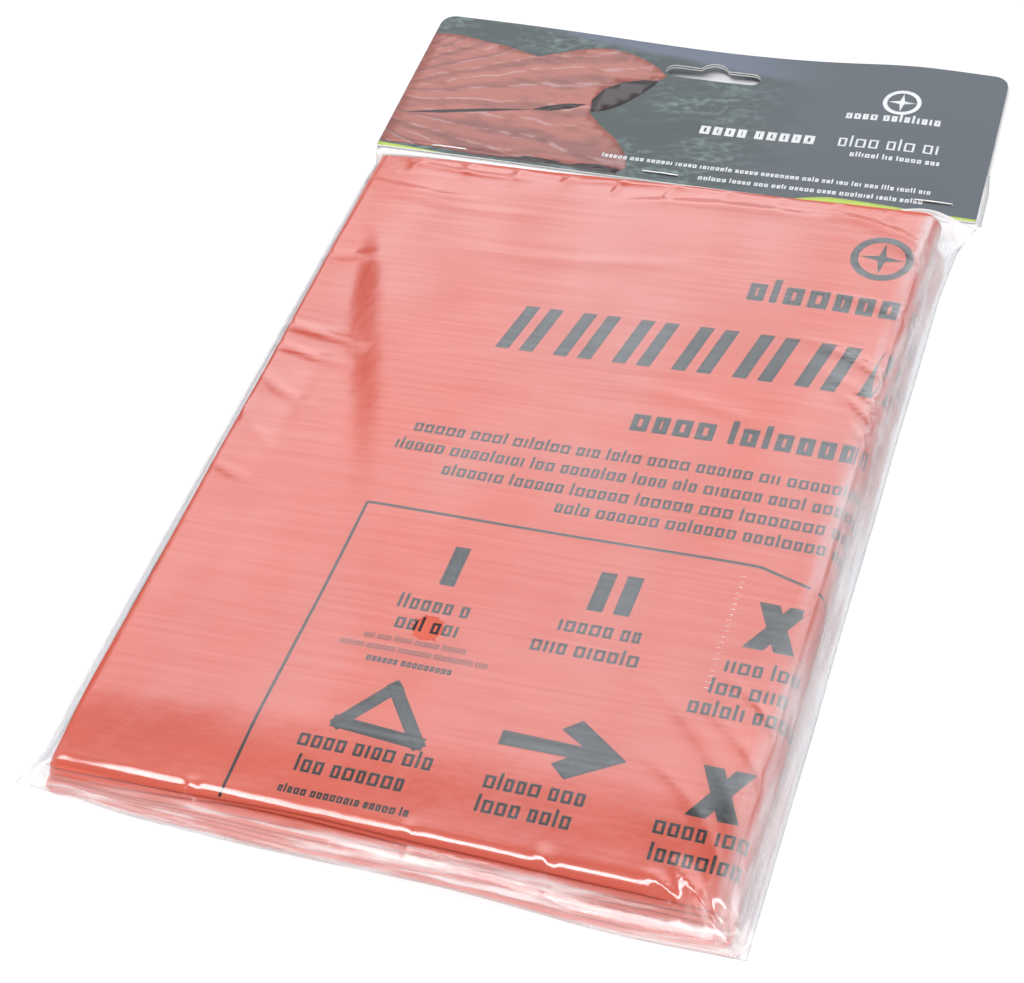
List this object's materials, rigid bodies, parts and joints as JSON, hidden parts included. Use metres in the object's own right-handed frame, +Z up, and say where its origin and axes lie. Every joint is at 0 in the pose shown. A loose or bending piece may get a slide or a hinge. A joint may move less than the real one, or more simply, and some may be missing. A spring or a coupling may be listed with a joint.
{
  "type": "bivy sack",
  "caption": "Emergency polythene bivi bag folded flat in a clear polybag, closed by a stapled header card with a euro hang slot.",
  "frame": {"origin": "middle of the folded bag's footprint, on the surface that the pack lies on", "axes": "+Y from the pack's closed front end to the header card, +X to the right as the card is read, +Z up"},
  "size_m": [0.2081, 0.3437, 0.0132],
  "materials": {
    "bag_orange": "translucent high-visibility polythene film, folded in many plies",
    "clear_film": "clear thin polypropylene film, wrinkled",
    "card_board": "printed coated board, satin",
    "staple_steel": "bright drawn wire"
  },
  "bodies": {
    "pack": {"bag_wrap_1": "bag_orange", "bag_wrap_2": "bag_orange", "bag_wrap_3": "bag_orange", "bag_wrap_4": "bag_orange", "bag_edge_fold_outer": "bag_orange", "bag_edge_fold_inner": "bag_orange", "polybag_base_film": "clear_film", "polybag_top_film": "clear_film", "polybag_weld_left": "clear_film", "polybag_weld_right": "clear_film", "polybag_neck": "clear_film"},
    "header": {"polybag_mouth": "clear_film", "header_card": "card_board", "staple_left": "staple_steel", "staple_centre": "staple_steel", "staple_right": "staple_steel"}
  },
  "joints": [
    {"name": "header_swing", "type": "hinge", "parent": "pack", "child": "header", "pos_m": [0.0027, 0.13155, 0.00685], "axis": [0.9982, 0.0265, -0.0545], "range_deg": [-90, 115]}
  ]
}
